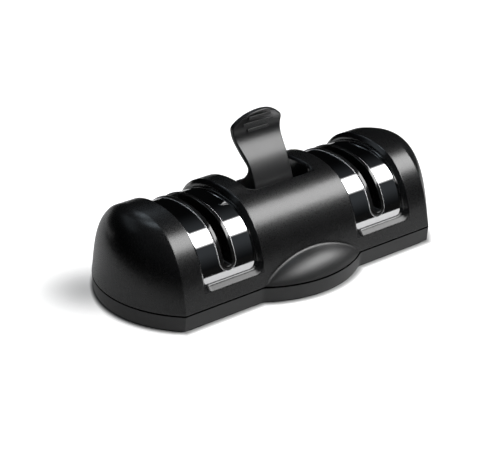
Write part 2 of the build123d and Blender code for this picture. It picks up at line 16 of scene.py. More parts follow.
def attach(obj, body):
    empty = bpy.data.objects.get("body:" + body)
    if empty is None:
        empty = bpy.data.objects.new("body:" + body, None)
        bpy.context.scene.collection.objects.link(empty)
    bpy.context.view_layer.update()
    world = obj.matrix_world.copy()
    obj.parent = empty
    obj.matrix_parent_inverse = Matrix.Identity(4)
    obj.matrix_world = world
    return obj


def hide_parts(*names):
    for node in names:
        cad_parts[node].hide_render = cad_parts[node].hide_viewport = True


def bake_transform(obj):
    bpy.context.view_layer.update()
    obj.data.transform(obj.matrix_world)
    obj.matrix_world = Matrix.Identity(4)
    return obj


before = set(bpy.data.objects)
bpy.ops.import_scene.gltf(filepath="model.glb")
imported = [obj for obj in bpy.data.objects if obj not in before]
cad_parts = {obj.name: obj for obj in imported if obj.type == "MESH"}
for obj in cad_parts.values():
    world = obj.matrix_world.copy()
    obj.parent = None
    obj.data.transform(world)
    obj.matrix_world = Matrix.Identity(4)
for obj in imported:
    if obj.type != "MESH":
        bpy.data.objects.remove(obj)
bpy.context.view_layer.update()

Pair = tuple[float, float]
Point = tuple[float, float, float]
Colour = tuple[float, float, float]
Socket = bpy.types.NodeSocket
Value = Socket | float
Material = bpy.types.Material
Piece = bpy.types.Object
Mesh = bmesh.types.BMesh

log = logging.getLogger("sharpener")
MM = 0.001
WELD_DISTANCE = 0.000002
CURVED_ANGLE = 40
PANEL_ANGLE = 30
COOL_WHITE = (0.80, 0.91, 1.0)


class Stage(Enum):
    """The two sharpening stages, with the side of the middle that each is on."""

    COARSE = -1
    FINE = 1

    @property
    def key(self) -> str:
        """Name that the stage's nodes start with."""
        return self.name.lower()


class Layer(Enum):
    """How deep a surface of the barrel lies below the outer casing."""

    LIP = 3.3 * MM
    COVER = 4.0 * MM
    COVER_BACK = 4.8 * MM
    GUIDE_FOOT = 17.0 * MM


class Passage(Enum):
    """How a value passes from one level to another."""

    SMOOTH = "SMOOTHSTEP"
    EVEN = "LINEAR"


class NodeSheet:
    """The nodes of a material or of the world, with short calls to add and join them."""

    def __init__(self, owner: Material | bpy.types.World) -> None:
        """Open the node tree of its owner.

        Args:
            owner: The material or world that the nodes belong to.
        """
        owner.use_nodes = True
        self.nodes = owner.node_tree.nodes
        self.links = owner.node_tree.links

    def add(self, kind: str, **inputs: object) -> bpy.types.Node:
        """Add a node and set the values of its named inputs.

        Args:
            kind: The node's type name.
            inputs: Values by input name, with spaces written as underscores.

        Returns:
            The new node.
        """
        node = self.nodes.new(kind)
        for key, value in inputs.items():
            node.inputs[key.replace("_", " ")].default_value = value
        return node

    def join(self, source: Socket, target: Socket) -> None:
        """Link one socket to another."""
        self.links.new(source, target)

    def feed(self, value: object, target: Socket) -> None:
        """Give a socket its value.

        Args:
            value: The socket that the value comes from, or the plain value itself.
            target: The socket that takes it.
        """
        if isinstance(value, Socket):
            self.join(value, target)
        else:
            target.default_value = value

    def combine(self, operation: str, *values: Value) -> Socket:
        """Combine two or more values, one after another, with one arithmetic operation.

        Args:
            operation: The operation's name, such as MULTIPLY.
            values: Sockets or plain numbers.

        Returns:
            The result's socket.
        """
        total = values[0]
        for value in values[1:]:
            node = self.nodes.new("ShaderNodeMath")
            node.operation = operation
            self.feed(total, node.inputs[0])
            self.feed(value, node.inputs[1])
            total = node.outputs["Value"]
        return total

    def unsigned(self, value: Socket) -> Socket:
        """Return a value without its sign."""
        return self.combine("MAXIMUM", value, self.combine("MULTIPLY", value, -1.0))

    def length(self, *sides: Socket) -> Socket:
        """Return how long a line is whose sides, at right angles to each other, are given."""
        squares = [self.combine("MULTIPLY", side, side) for side in sides]
        return self.combine("POWER", self.combine("ADD", *squares), 0.5)

    def ramp(
        self,
        value: Socket,
        low: float,
        high: float,
        start: float,
        end: float,
        passage: Passage = Passage.SMOOTH,
    ) -> Socket:
        """Turn a value from one level to another.

        Args:
            value: The value that decides.
            low: Below this the result is start.
            high: Above this the result is end.
            start: The first level.
            end: The second level.
            passage: Whether it passes softly at both ends or evenly.

        Returns:
            The result's socket.
        """
        node = self.nodes.new("ShaderNodeMapRange")
        node.interpolation_type = passage.value
        for name, level in (("From Min", low), ("From Max", high), ("To Min", start), ("To Max", end)):
            node.inputs[name].default_value = level
        self.join(value, node.inputs["Value"])
        return node.outputs["Result"]

    def axes(self, output: str) -> bpy.types.NodeOutputs:
        """Split one of the texture coordinates into its axes.

        Args:
            output: The coordinate's name, such as Object or UV.

        Returns:
            The coordinate's X, Y and Z.
        """
        split = self.nodes.new("ShaderNodeSeparateXYZ")
        self.join(self.nodes.new("ShaderNodeTexCoord").outputs[output], split.inputs["Vector"])
        return split.outputs


class ShaderTree(NodeSheet):
    """A material under construction, with its main shader."""

    noise_range: Pair = (0.3, 0.7)
    tint_range: Pair = (0.35, 0.65)
    noise_roughness: float = 0.55
    bevel_samples: int = 8

    def __init__(self, name: str) -> None:
        """Start a material that holds one Principled shader.

        Args:
            name: The material's name.
        """
        self.material = bpy.data.materials.new(name)
        super().__init__(self.material)
        self.shader = self.nodes["Principled BSDF"]

    def wire(self, **inputs: object) -> None:
        """Set or link inputs of the main shader, by their names with underscores for spaces."""
        for key, value in inputs.items():
            self.feed(value, self.shader.inputs[key.replace("_", " ")])

    def place(self) -> Socket:
        """Return the place in the part's own frame, in metres."""
        return self.nodes.new("ShaderNodeTexCoord").outputs["Object"]

    def noise(self, size: float, detail: float = 2.0, stretch: Point = (1, 1, 1)) -> Socket:
        """Add noise whose grains are about the given size.

        Args:
            size: Width of one grain, in metres.
            detail: How many finer layers the noise has.
            stretch: How much longer the grains are along each axis.

        Returns:
            The noise value's socket.
        """
        mapping = self.add("ShaderNodeMapping", Scale=tuple(1 / value for value in stretch))
        self.join(self.place(), mapping.inputs["Vector"])
        noise = self.add("ShaderNodeTexNoise", Scale=1 / size, Detail=detail, Roughness=self.noise_roughness)
        self.join(mapping.outputs["Vector"], noise.inputs["Vector"])
        return noise.outputs["Fac"]

    def spread(self, value: Socket, middle: float, reach: float) -> Socket:
        """Return a noise value's usual range mapped to the levels within reach of a middle."""
        return self.ramp(value, *self.noise_range, middle - reach, middle + reach, Passage.EVEN)

    def choose(self, mask: Socket, level: float, other: Value) -> Socket:
        """Take one level where a mask is 1 and another value where it is 0.

        Args:
            mask: The mask.
            level: The level where the mask is 1.
            other: The value elsewhere.

        Returns:
            The result's socket.
        """
        mix = self.nodes.new("ShaderNodeMix")
        self.join(mask, mix.inputs["Factor"])
        self.feed(other, mix.inputs["A"])
        self.feed(level, mix.inputs["B"])
        return mix.outputs["Result"]

    def tint(self, value: Socket, low: Colour, high: Colour) -> None:
        """Colour the surface between two tones.

        Args:
            value: The value that decides.
            low: The tone of its lower end.
            high: The tone of its upper end.
        """
        ramp = self.nodes.new("ShaderNodeValToRGB")
        for element, tone, position in zip(ramp.color_ramp.elements, (low, high), self.tint_range):
            element.color = (*tone, 1)
            element.position = position
        self.join(value, ramp.inputs["Fac"])
        self.wire(Base_Color=ramp.outputs["Color"])

    def emboss(self, value: Socket, depth: float, edge: float = 0.0) -> None:
        """Raise the surface by a value.

        Args:
            value: The height, from 0 to 1.
            depth: Height that a value of 1 stands for, in metres.
            edge: Radius that sharp edges are softened to, in metres.
        """
        bump = self.add("ShaderNodeBump", Strength=1.0, Distance=depth)
        self.join(value, bump.inputs["Height"])
        if edge:
            soft = self.add("ShaderNodeBevel", Radius=edge)
            soft.samples = self.bevel_samples
            self.join(soft.outputs["Normal"], bump.inputs["Normal"])
        self.wire(Normal=bump.outputs["Normal"])


def toned(colour: Colour, share: float) -> Colour:
    """Return a colour made lighter or darker by a share."""
    return tuple(value * share for value in colour)


@dataclass(frozen=True)
class PolishedZone:
    """A box, mirrored about the barrel's middle, in which the mould and so the plastic is polished."""

    roughness: float
    shine: float
    low: Point
    high: Point

    def mask(self, tree: ShaderTree) -> Socket:
        """Find where the zone is.

        Args:
            tree: The material that asks.

        Returns:
            A value that is 1 in the zone and 0 elsewhere.
        """
        axes = tree.axes("Object")
        places = (tree.unsigned(axes["X"]), axes["Y"], axes["Z"])
        tests = []
        for place, low, high in zip(places, self.low, self.high):
            tests.append(tree.combine("GREATER_THAN", place, low))
            tests.append(tree.combine("LESS_THAN", place, high))
        return tree.combine("MULTIPLY", *tests)


@dataclass(frozen=True)
class ThumbBulge:
    """The front and the rear bulge of the casing, whose mould is etched a little coarser for grip."""

    roughness: float
    shine: float
    axis_y: float = 37.2 * MM
    axis_z: float = 7.3 * MM
    reach: float = 14.3 * MM
    length_radius: float = 59.5 * MM
    fade: float = 0.5 * MM

    def mask(self, tree: ShaderTree) -> Socket:
        """Find where the bulges are: within their reach of a level axis, less towards their ends.

        Args:
            tree: The material that asks.

        Returns:
            A value that is 1 on the bulges and 0 elsewhere.
        """
        axes = tree.axes("Object")
        across = tree.combine("SUBTRACT", tree.unsigned(axes["Y"]), self.axis_y)
        above = tree.combine("SUBTRACT", axes["Z"], self.axis_z)
        fall = tree.combine("MULTIPLY", axes["X"], axes["X"], 0.5 / self.length_radius)
        radius = tree.combine("ADD", tree.length(across, above), fall)
        return tree.ramp(radius, self.reach, self.reach + self.fade, 1.0, 0.0)


@dataclass(frozen=True)
class MouldedPlastic:
    """Moulded plastic with a fine even grain, for the casing, the lever and the parts inside."""

    name: str
    dark: Colour
    pale: Colour
    roughness: float
    grain: float
    grain_depth: float
    grain_detail: float = 3.0
    cloud_grains: float = 30
    unevenness: float = 0.03
    refraction: float = 1.58
    shine: float = 0.5
    edge: float = 0.0
    # seam_z: height above which a painted seam shade darkens the plastic; 0 leaves it out.
    seam_z: float = 0.0
    painted_shade_fade: float = 0.1 * MM
    zones: tuple[PolishedZone | ThumbBulge, ...] = ()

    def material(self) -> Material:
        """Build the material, with its polished or coarser zones.

        Returns:
            The material.
        """
        tree = ShaderTree(self.name)
        grain = tree.noise(self.grain, detail=self.grain_detail)
        tree.tint(tree.noise(self.grain * self.cloud_grains), self.dark, self.pale)
        satin = tree.spread(grain, self.roughness, self.unevenness)
        shine = self.shine
        for zone in self.zones:
            mask = zone.mask(tree)
            satin = tree.choose(mask, zone.roughness, satin)
            shine = tree.choose(mask, zone.shine, shine)
        tree.wire(Roughness=satin, Specular_IOR_Level=shine, IOR=self.refraction)
        tree.emboss(grain, self.grain_depth, self.edge)
        if self.seam_z:
            self.paint_seam_shade(tree)
        return tree.material

    def paint_seam_shade(self, tree: ShaderTree) -> None:
        """Paint the seam's shade: darken the colour and shine of the tongue that stands up into the seam, as
        a deep narrow gap would.

        Args:
            tree: The material, with its colour already set.
        """
        height = tree.axes("Object")["Z"]
        clear_of_painted_shade = tree.ramp(height, self.seam_z - self.painted_shade_fade, self.seam_z, 1.0, 0.0)
        colour = tree.shader.inputs["Base Color"].links[0].from_socket
        painted_shade_colour = tree.nodes.new("ShaderNodeVectorMath")
        painted_shade_colour.operation = "SCALE"
        tree.join(colour, painted_shade_colour.inputs["Vector"])
        tree.join(clear_of_painted_shade, painted_shade_colour.inputs["Scale"])
        shine = tree.combine("MULTIPLY", clear_of_painted_shade, self.shine)
        tree.wire(Base_Color=painted_shade_colour.outputs["Vector"], Specular_IOR_Level=shine)


@dataclass(frozen=True)
class LinedSteel:
    """Steel with fine lines: plain on turned and pressed parts, or with a mirror polish on sheet."""

    name: str = "plain_steel"
    tone: Colour = (0.50, 0.50, 0.51)
    shade: float = 0.85
    patch: float = 0.004
    roughness: float = 0.31
    unevenness: float = 0.09
    line: float = 0.0002
    line_detail: float = 4.0
    line_depth: float = 0.000003
    stretch: Point = (25, 1, 1)

    def material(self) -> Material:
        """Build the material.

        Returns:
            The material.
        """
        tree = ShaderTree(self.name)
        lines = tree.noise(self.line, detail=self.line_detail, stretch=self.stretch)
        tree.tint(tree.noise(self.patch), toned(self.tone, self.shade), self.tone)
        tree.wire(Roughness=tree.spread(lines, self.roughness, self.unevenness), Metallic=1.0)
        tree.emboss(lines, self.line_depth)
        return tree.material


@dataclass(frozen=True)
class DullRubber:
    """Soft black rubber for the gasket and the suction cup."""

    name: str
    tone: Colour
    bloom: float = 0.003
    bloom_detail: float = 4.0
    bloom_tone: float = 1.6
    roughness: float = 0.62
    unevenness: float = 0.06
    grain: float = 0.0003
    grain_depth: float = 0.00001

    def material(self) -> Material:
        """Build the material.

        Returns:
            The material.
        """
        tree = ShaderTree(self.name)
        bloom = tree.noise(self.bloom, detail=self.bloom_detail)
        tree.tint(bloom, self.tone, toned(self.tone, self.bloom_tone))
        tree.wire(Roughness=tree.spread(bloom, self.roughness, self.unevenness))
        tree.emboss(tree.noise(self.grain), self.grain_depth)
        return tree.material


@dataclass(frozen=True)
class GritStone:
    """Bonded abrasive of a sharpening wheel, with grains that show."""

    name: str
    dark: Colour
    pale: Colour
    grit: float
    roughness: float
    patch_grains: float = 4
    unevenness: float = 0.1
    relief: float = 0.3

    def material(self) -> Material:
        """Build the material.

        Returns:
            The material.
        """
        tree = ShaderTree(self.name)
        cells = tree.add("ShaderNodeTexVoronoi", Scale=1 / self.grit)
        tree.join(tree.place(), cells.inputs["Vector"])
        tree.tint(cells.outputs["Distance"], self.pale, self.dark)
        patches = tree.noise(self.grit * self.patch_grains)
        tree.wire(Roughness=tree.spread(patches, self.roughness, self.unevenness))
        tree.emboss(cells.outputs["Distance"], self.grit * self.relief)
        return tree.material


class FinishBook:
    """Every finish of the sharpener, made once and handed to the pieces that wear it."""

    window_x: Pair = (0.0324, 0.0719)
    window_z: Pair = (0.0172, 0.0214)
    pocket: Point = (0.0225, -0.0143, 0.0318)
    outside: float = 1.0

    def __init__(self) -> None:
        """Build all the materials by the name of the record's slot."""
        finishes = (
            MouldedPlastic(
                name="housing_plastic",
                dark=(0.0038, 0.0038, 0.0040), pale=(0.0055, 0.0055, 0.0057),
                roughness=0.285, grain=0.00045, grain_depth=0.0000085, edge=0.0012,
                zones=self.housing_zones(),
            ),
            # The tray's tongue above seam_z carries a painted seam shade.
            MouldedPlastic(
                name="tray_plastic",
                dark=(0.018, 0.018, 0.0185), pale=(0.022, 0.022, 0.0225),
                roughness=0.46, grain=0.00030, grain_depth=0.000008, edge=0.0006, seam_z=0.0088,
            ),
            MouldedPlastic(
                name="lever_plastic",
                dark=(0.006, 0.006, 0.0065), pale=(0.009, 0.009, 0.0095),
                roughness=0.36, grain=0.00025, grain_depth=0.000006,
            ),
            MouldedPlastic(
                name="guide_plastic",
                dark=(0.006, 0.006, 0.006), pale=(0.008, 0.008, 0.008),
                roughness=0.12, grain=0.00080, grain_depth=0.000001,
            ),
            MouldedPlastic(
                name="inner_plastic",
                dark=(0.035, 0.035, 0.038), pale=(0.045, 0.045, 0.048),
                roughness=0.50, grain=0.00040, grain_depth=0.000010,
            ),
            LinedSteel(
                name="mirror_steel", tone=(0.86, 0.86, 0.87), shade=0.97, patch=0.012,
                roughness=0.035, unevenness=0.014,
                line=0.00035, line_detail=2.0, line_depth=0.0000006, stretch=(1, 60, 60),
            ),
            LinedSteel(),
            LinedSteel(name="cut_steel", tone=(0.86, 0.86, 0.87), roughness=0.56, line=0.0004),
            DullRubber(name="gasket_rubber", tone=(0.008, 0.008, 0.008)),
            DullRubber(name="cup_rubber", tone=(0.014, 0.014, 0.014), roughness=0.5),
            GritStone(
                name="coarse_abrasive",
                dark=(0.10, 0.10, 0.09), pale=(0.36, 0.35, 0.32),
                grit=0.00028, roughness=0.6,
            ),
            GritStone(
                name="fine_abrasive",
                dark=(0.52, 0.50, 0.46), pale=(0.74, 0.72, 0.67),
                grit=0.00014, roughness=0.5,
            ),
        )
        self.materials = {finish.name: finish.material() for finish in finishes}

    def housing_zones(self) -> tuple[PolishedZone | ThumbBulge, ...]:
        """List where the housing's surface differs: the windows' foot and sides, the pocket and the bulges.

        Returns:
            The zones, of which a later one wins where two meet.
        """
        out = self.outside
        near_x, far_x = self.window_x
        foot_z, side_z = self.window_z
        side_x, front_y, floor_z = self.pocket
        return (
            PolishedZone(roughness=0.24, shine=0.32, low=(near_x, -out, foot_z), high=(far_x, out, side_z)),
            PolishedZone(roughness=0.14, shine=1.0, low=(near_x, -out, side_z), high=(far_x, out, out)),
            PolishedZone(roughness=0.16, shine=0.8, low=(-out, front_y, floor_z), high=(side_x, out, out)),
            ThumbBulge(roughness=0.44, shine=0.6),
        )

    def dress(self, piece: Piece, slot: str, trim: str | None = None) -> None:
        """Give a piece its finish, and its trimmed faces another one.

        Args:
            piece: The mesh object.
            slot: The record's slot name, which is also the finish's name.
            trim: The finish of the faces with material index 1, if the piece has any.
        """
        if not piece.data.materials:
            piece.data.materials.append(self.materials[slot])
        for holder in piece.material_slots:
            holder.material = self.materials[slot]
        if trim:
            piece.data.materials.append(self.materials[trim])

    def dress_nodes(self, slots: dict[str, str]) -> list[Piece]:
        """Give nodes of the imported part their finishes.

        Args:
            slots: The slot's name by the node's name.

        Returns:
            The nodes' objects.
        """
        pieces = [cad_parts[node] for node in slots]
        for piece, slot in zip(pieces, slots.values()):
            self.dress(piece, slot)
        return pieces


def smooth_piece(name: str, mesh: Mesh, angle: float = CURVED_ANGLE) -> Piece:
    """Turn a finished bmesh into an object with soft faces and sharp edges.

    Args:
        name: The piece's name.
        mesh: The bmesh, which is freed.
        angle: Edges that bend more than this, in degrees, stay sharp.

    Returns:
        The new object, linked to the scene.
    """
    bmesh.ops.remove_doubles(mesh, verts=mesh.verts, dist=WELD_DISTANCE)
    bmesh.ops.recalc_face_normals(mesh, faces=mesh.faces)
    data = bpy.data.meshes.new(name)
    mesh.to_mesh(data)
    mesh.free()
    for polygon in data.polygons:
        polygon.use_smooth = True
    data.set_sharp_from_angle(angle=math.radians(angle))
    piece = bpy.data.objects.new(name, data)
    bpy.context.scene.collection.objects.link(piece)
    return piece


@dataclass(frozen=True)
class BarrelArch:
    """Cross-section of the barrel: two mirrored cubic curves from the seam to the crown."""

    half_width: float = 40.7 * MM
    crown_z: float = 53.4 * MM
    seam_z: float = 9.3 * MM
    side_arm: float = 18.2 * MM
    side_lean: float = 3.6 * MM
    top_arm: float = 34.0 * MM
    halvings: int = 40

    def at(self, turn: float, inset: float) -> Pair:
        """Find a point of the arch.

        Args:
            turn: Place along the arch, -1 at the front seam, 0 at the crown and 1 at the rear seam.
            inset: How deep the point lies below the outer casing.

        Returns:
            The point's y and z.
        """
        share = 1 - abs(turn)
        rest = 1 - share
        weights = (rest**3, 3 * rest**2 * share, 3 * rest * share**2, share**3)
        side = self.half_width - inset
        crown = self.crown_z - inset
        crown_radius = 1.5 * self.top_arm**2 / (self.crown_z - self.seam_z - self.side_arm)
        arm = self.top_arm * (1 - inset / crown_radius)
        across = (side, side - self.side_lean, arm, 0.0)
        height = (self.seam_z, self.seam_z + self.side_arm, crown, crown)
        y = sum(weight * value for weight, value in zip(weights, across))
        z = sum(weight * value for weight, value in zip(weights, height))
        return (math.copysign(y, turn), z)

    def turn_at(self, z: float, inset: float) -> float:
        """Find where the arch passes through a height, by halving.

        Args:
            z: The height.
            inset: How deep the arch lies below the outer casing.

        Returns:
            How far from the crown that is, from 0 to 1.
        """
        low, high = 0.0, 1.0
        for _ in range(self.halvings):
            middle = (low + high) / 2
            if self.at(middle, inset)[1] > z:
                low = middle
            else:
                high = middle
        return (low + high) / 2


@dataclass(frozen=True)
class BladeSlot:
    """Line of a stage's slot on the barrel: straight over the crown, with a round foot at each end."""

    stage: Stage
    arch: BarrelArch = field(default_factory=BarrelArch)
    stage_x: float = 52.15 * MM
    end_z: float = 28.0 * MM
    crown_steps: int = 48
    round_steps: int = 20

    @property
    def middle_x(self) -> float:
        """X of the slot's middle line."""
        return self.stage.value * self.stage_x

    def loop(self, offset: float, inset: float) -> list[Point]:
        """Draw one closed line round the slot.

        Args:
            offset: Distance from the slot's middle line.
            inset: Depth below the casing.

        Returns:
            The line's points.
        """
        last = self.arch.turn_at(self.end_z, inset)
        points = []
        for end in (-1, 1):
            side = -end
            turns = [end * last * step / self.crown_steps for step in range(self.crown_steps)]
            line = [self.arch.at(turn, inset) for turn in turns]
            points.extend((self.middle_x + side * offset, y, z) for y, z in line)
            for step in range(self.round_steps + 1):
                angle = math.pi * step / self.round_steps
                z = self.end_z - offset * math.sin(angle)
                y = self.arch.at(end * self.arch.turn_at(z, inset), inset)[0]
                points.append((self.middle_x + side * offset * math.cos(angle), y, z))
            points.extend((self.middle_x - side * offset, y, z) for y, z in line[:0:-1])
        return points

    def sweep(self, mesh: Mesh, section: list[Pair]) -> None:
        """Lead a closed section round the slot.

        Args:
            mesh: The bmesh that gets the faces.
            section: Offset from the slot's middle line and depth below the casing of each of its points.
        """
        loops = [[mesh.verts.new(p) for p in self.loop(offset, inset)] for offset, inset in section]
        for near, far in zip(loops, loops[1:] + loops[:1]):
            count = len(near)
            for index in range(count):
                after = (index + 1) % count
                mesh.faces.new([near[index], near[after], far[after], far[index]])


@dataclass
class DrumCover:
    """Mirror-bright steel sheet in a window, with a slot for the blade and a fine rolled edge round it."""

    stage: Stage
    half_width: float = 18.55 * MM
    foot_z: float = 16.8 * MM
    slot_half: float = 4.3 * MM
    bead_offset: float = 5.22 * MM
    bead_radius: float = 0.26 * MM
    bead_steps: int = 12
    columns: int = 8
    foot_rows: int = 10
    round_rows: int = 16
    crown_rows: int = 56
    slot: BladeSlot = field(init=False)

    def __post_init__(self) -> None:
        """Lay out the line of the slot."""
        self.slot = BladeSlot(self.stage)

    def rows(self, inset: float) -> list[Pair]:
        """Divide the sheet into rows, from front to rear.

        Args:
            inset: Depth of the surface below the casing.

        Returns:
            The turn along the arch and the slot's half width of each row.
        """
        arch = self.slot.arch
        slot_foot_z = self.slot.end_z - self.slot_half
        front = []
        for row in range(self.foot_rows):
            z = self.foot_z + (slot_foot_z - self.foot_z) * row / self.foot_rows
            front.append((arch.turn_at(z, inset), 0.0))
        for row in range(self.round_rows):
            angle = math.pi / 2 * row / self.round_rows
            z = self.slot.end_z - self.slot_half * math.cos(angle)
            front.append((arch.turn_at(z, inset), self.slot_half * math.sin(angle)))
        last = arch.turn_at(self.slot.end_z, inset)
        for row in range(self.crown_rows):
            front.append((last * (1 - row / self.crown_rows), self.slot_half))
        return [(-turn, half) for turn, half in front] + [(0.0, self.slot_half)] + front[::-1]

    def surface(self, mesh: Mesh, layer: Layer) -> list[list[bmesh.types.BMVert]]:
        """Add the points of one side of the sheet.

        Args:
            mesh: The bmesh that gets them.
            layer: Which side it is.

        Returns:
            The points of each row, first those left of the slot and then those right of it.
        """
        grid = []
        for turn, half in self.rows(layer.value):
            y, z = self.slot.arch.at(turn, layer.value)
            reach = self.half_width - half
            left = [-self.half_width + reach * column / self.columns for column in range(self.columns + 1)]
            across = left + [-x for x in reversed(left)]
            grid.append([mesh.verts.new((self.slot.middle_x + x, y, z)) for x in across])
        return grid

    def bead(self) -> list[Pair]:
        """Draw the round section of the rolled edge.

        Returns:
            Offset from the slot's middle line and depth below the casing of each point.
        """
        section = []
        for step in range(self.bead_steps):
            angle = 2 * math.pi * step / self.bead_steps
            offset = self.bead_offset + self.bead_radius * math.cos(angle)
            section.append((offset, Layer.COVER.value - self.bead_radius * math.sin(angle)))
        return section

    def build(self) -> Piece:
        """Build the bent sheet with its slot, and the rolled edge as trimmed faces.

        Returns:
            The cover.
        """
        mesh = bmesh.new()
        front = self.surface(mesh, Layer.COVER)
        back = self.surface(mesh, Layer.COVER_BACK)
        halves = [half for _, half in self.rows(Layer.COVER.value)]
        gap = self.columns
        last = 2 * self.columns + 1
        strips = [column for column in range(last) if column != gap]
        for row in range(len(halves) - 1):
            for column in strips:
                for grid in (front, back):
                    near, far = grid[row], grid[row + 1]
                    mesh.faces.new([near[column], near[column + 1], far[column + 1], far[column]])
            slotted = halves[row] > 0 or halves[row + 1] > 0
            for column in (0, gap, gap + 1, last) if slotted else (0, last):
                outer = [front[row][column], front[row + 1][column]]
                mesh.faces.new(outer + [back[row + 1][column], back[row][column]])
        for row in (0, len(halves) - 1):
            for column in strips:
                outer = [front[row][column], front[row][column + 1]]
                mesh.faces.new(outer + [back[row][column + 1], back[row][column]])
        sheet_faces = len(mesh.faces)
        self.slot.sweep(mesh, self.bead())
        mesh.faces.ensure_lookup_table()
        for face in mesh.faces[sheet_faces:]:
            face.material_index = 1
        return smooth_piece(self.stage.key + "_mirror_cover", mesh)


@dataclass
class SlotGuide:
    """Gloss-black insert that lines the slot, with a rounded lip that stands proud of the steel."""

    stage: Stage
    inner_half: float = 2.8 * MM
    channel_half: float = 4.2 * MM
    lip_half: float = 4.95 * MM
    lip_round: float = 0.32 * MM
    lip_depth: float = 1.28 * MM
    seat_gap: float = 0.03 * MM
    corner_steps: int = 4

    def section(self) -> list[Pair]:
        """Draw the section of the insert's wall.

        Returns:
            Offset from the slot's middle line and depth below the casing of each point.
        """
        top = Layer.LIP.value
        foot = Layer.GUIDE_FOOT.value
        inner = self.inner_half
        points = [(inner, foot), (inner, (foot + top) / 2), (inner, top + self.lip_depth)]
        for step in range(self.corner_steps + 1):
            angle = math.pi / 2 * step / self.corner_steps
            offset = inner + self.lip_round * (1 - math.cos(angle))
            points.append((offset, top + self.lip_round * (1 - math.sin(angle))))
        for step in range(self.corner_steps + 1):
            angle = math.pi / 2 * step / self.corner_steps
            offset = self.lip_half - self.lip_round * (1 - math.sin(angle))
            points.append((offset, top + self.lip_round * (1 - math.cos(angle))))
        seat = Layer.COVER.value - self.seat_gap
        points.extend([(self.lip_half, seat), (self.channel_half, seat), (self.channel_half, foot)])
        return points

    def build(self) -> Piece:
        """Build the insert as one closed wall round the slot.

        Returns:
            The insert.
        """
        mesh = bmesh.new()
        BladeSlot(self.stage).sweep(mesh, self.section())
        return smooth_piece(self.stage.key + "_slot_insert", mesh)


@dataclass
class StageDressing:
    """One sharpening stage: its mirror cover, slot insert, wheels, axle and cradle."""

    stage: Stage

    def dress(self, book: FinishBook) -> list[Piece]:
        """Build the visible pieces and give every node of the stage its finish.

        Args:
            book: The finishes.

        Returns:
            The stage's pieces.
        """
        key = self.stage.key
        cover = DrumCover(self.stage).build()
        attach(cover, "body")
        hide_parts(key + "_drum_cover")
        book.dress(cover, "mirror_steel", "cut_steel")
        insert = SlotGuide(self.stage).build()
        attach(insert, "body")
        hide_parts(key + "_slot_guide")
        book.dress(insert, "guide_plastic")
        slots = {
            key + "_cradle": "inner_plastic",
            key + "_axle": "plain_steel",
            key + "_axle_clips": "plain_steel",
            key + "_wheel_hub": "inner_plastic",
            key + "_wheel_left": key + "_abrasive",
            key + "_wheel_right": key + "_abrasive",
        }
        return [cover, insert, *book.dress_nodes(slots)]


@dataclass
class Casing:
    """The moulded housing, the tray under it, the gasket that it stands on and the screws."""

    def dress(self, book: FinishBook) -> list[Piece]:
        """Give the casing's nodes their finishes.

        Args:
            book: The finishes.

        Returns:
            The casing's pieces.
        """
        slots = {
            "upper_housing": "housing_plastic",
            "base_tray": "tray_plastic",
            "base_gasket": "gasket_rubber",
            "housing_screws": "plain_steel",
            "cradle_screws": "plain_steel",
        }
        return book.dress_nodes(slots)


@dataclass
class RubberCup:
    """The suction cup: a thin rubber cone moulded round the stem's flange, which on the real sharpener bends
    as the stem lifts; here it is built in one fixed shape.
    """

    rim_radius: float = 38.0 * MM
    lip_z: float = 0.25 * MM
    edge: float = 1.7 * MM
    press_radius: float = 36.0 * MM
    shoulder_radius: float = 15.0 * MM
    shoulder_z: float = 3.6 * MM
    boss_radius: float = 10.5 * MM
    boss_z: float = 9.0 * MM
    dome_radius: float = 7.5 * MM
    dome_z: float = 1.9 * MM
    neck_radius: float = 5.1 * MM
    socket_radius: float = 8.1 * MM
    socket_foot_z: float = 4.4 * MM
    socket_top_z: float = 6.6 * MM
    fixed_z: float = 2.4 * MM
    moving_z: float = 5.0 * MM
    turns: int = 96
    cone_steps: int = 10

    def profile(self) -> list[Pair]:
        """Draw the cup's section, from the middle of the underside round to the socket.

        Returns:
            Radius and height of each point.
        """
        points = [(0.0, self.dome_z), (self.dome_radius, self.dome_z)]
        for step in range(1, self.cone_steps):
            share = step / self.cone_steps
            radius = self.dome_radius + (self.rim_radius - self.dome_radius) * share
            points.append((radius, self.dome_z + (self.lip_z - self.dome_z) * share))
        round_over = self.edge / 2
        for step in range(self.cone_steps + 1):
            angle = math.pi * (step / self.cone_steps - 0.5)
            radius = self.rim_radius - round_over + round_over * math.cos(angle)
            points.append((radius, self.lip_z + round_over + round_over * math.sin(angle)))
        press_z = self.lip_z + self.edge
        for step in range(self.cone_steps + 1):
            share = step / self.cone_steps
            radius = self.press_radius + (self.shoulder_radius - self.press_radius) * share
            points.append((radius, press_z + (self.shoulder_z - press_z) * share))
        halfway = (self.shoulder_z + self.boss_z) / 2
        points.extend((self.boss_radius, z) for z in (self.shoulder_z, halfway, self.boss_z))
        points.extend([(self.neck_radius, self.boss_z), (self.neck_radius, self.socket_top_z)])
        points.extend([(self.socket_radius, self.socket_top_z), (self.socket_radius, self.socket_foot_z)])
        return points + [(0.0, self.socket_foot_z)]

    def build(self) -> Piece:
        """Build the cup by turning its section round the stem.

        Returns:
            The cup.
        """
        mesh = bmesh.new()
        angles = [2 * math.pi * turn / self.turns for turn in range(self.turns)]
        rings = []
        for radius, z in self.profile():
            if radius == 0:
                rings.append([mesh.verts.new((0, 0, z))] * self.turns)
            else:
                places = [(radius * math.cos(angle), radius * math.sin(angle), z) for angle in angles]
                rings.append([mesh.verts.new(place) for place in places])
        for near, far in zip(rings, rings[1:]):
            for turn in range(self.turns):
                after = (turn + 1) % self.turns
                corners = dict.fromkeys((near[turn], near[after], far[after], far[turn]))
                mesh.faces.new(list(corners))
        return smooth_piece("rubber_cup", mesh)


